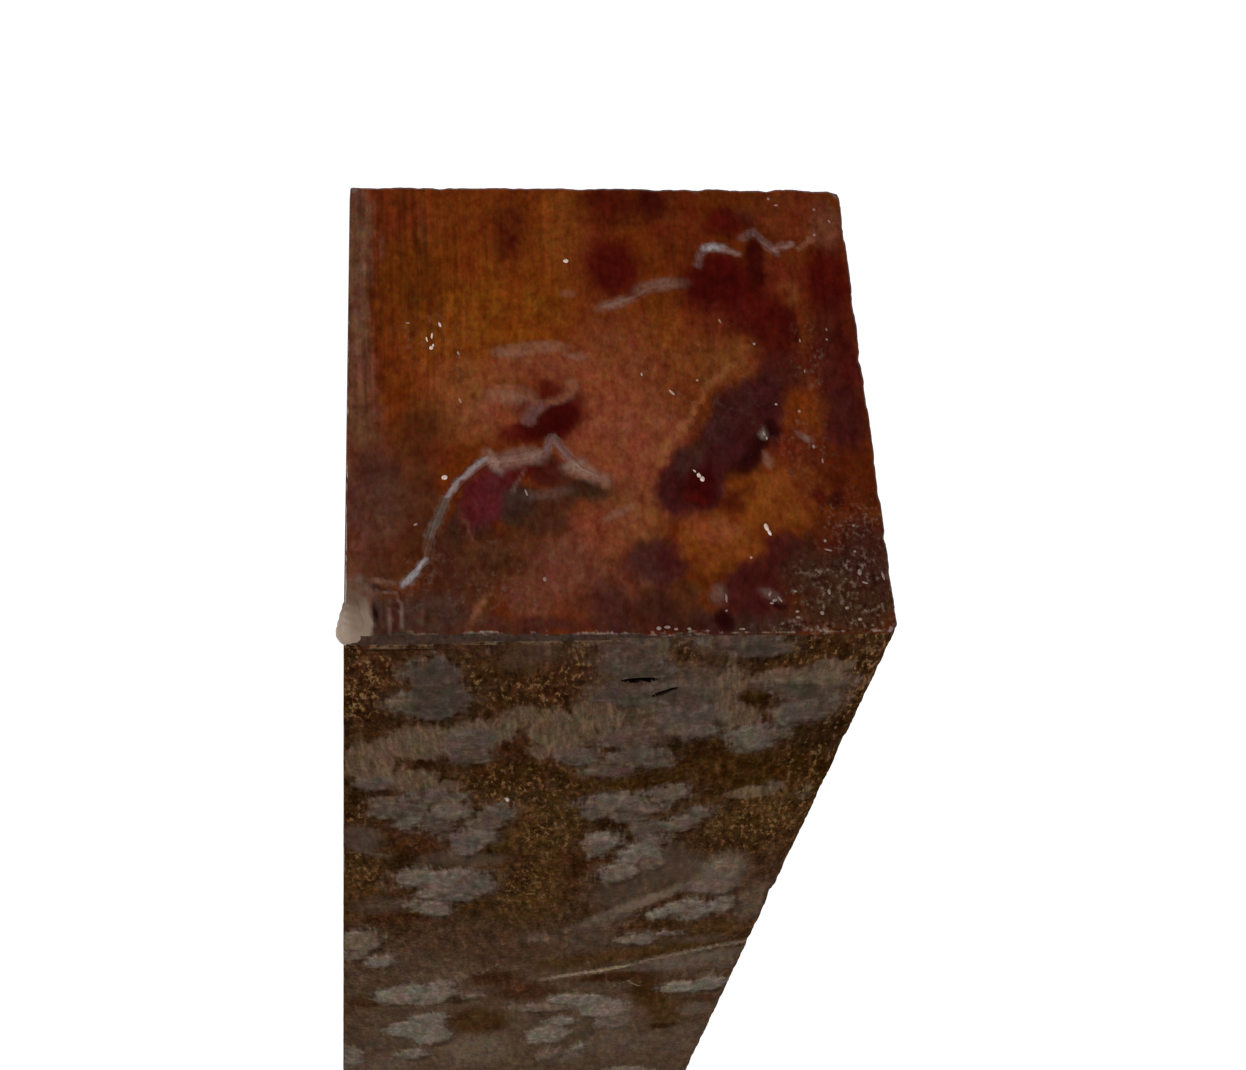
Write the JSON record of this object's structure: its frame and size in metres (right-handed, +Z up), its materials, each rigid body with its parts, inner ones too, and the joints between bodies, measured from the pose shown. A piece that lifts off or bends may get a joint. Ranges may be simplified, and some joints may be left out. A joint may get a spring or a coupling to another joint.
{
  "type": "wood turning blank",
  "caption": "Square sawn block of dark figured burl with clear wax run over its head end, ready to be turned on a lathe.",
  "frame": {"origin": "centre of the foot end, on the floor that the blank stands on", "axes": "+Z up the length of the blank to its waxed head end, +X to the right across the front face, -Y out of the front face"},
  "size_m": [0.0515, 0.0508, 0.1527],
  "materials": {
    "waxed_burl": "sawn dark burl under a film of clear wax, glossy on the head end and duller on the sides",
    "sealing_wax": null
  },
  "bodies": {
    "root": {"burl_blank": "waxed_burl", "wax_runs": "sealing_wax"}
  },
  "joints": []
}
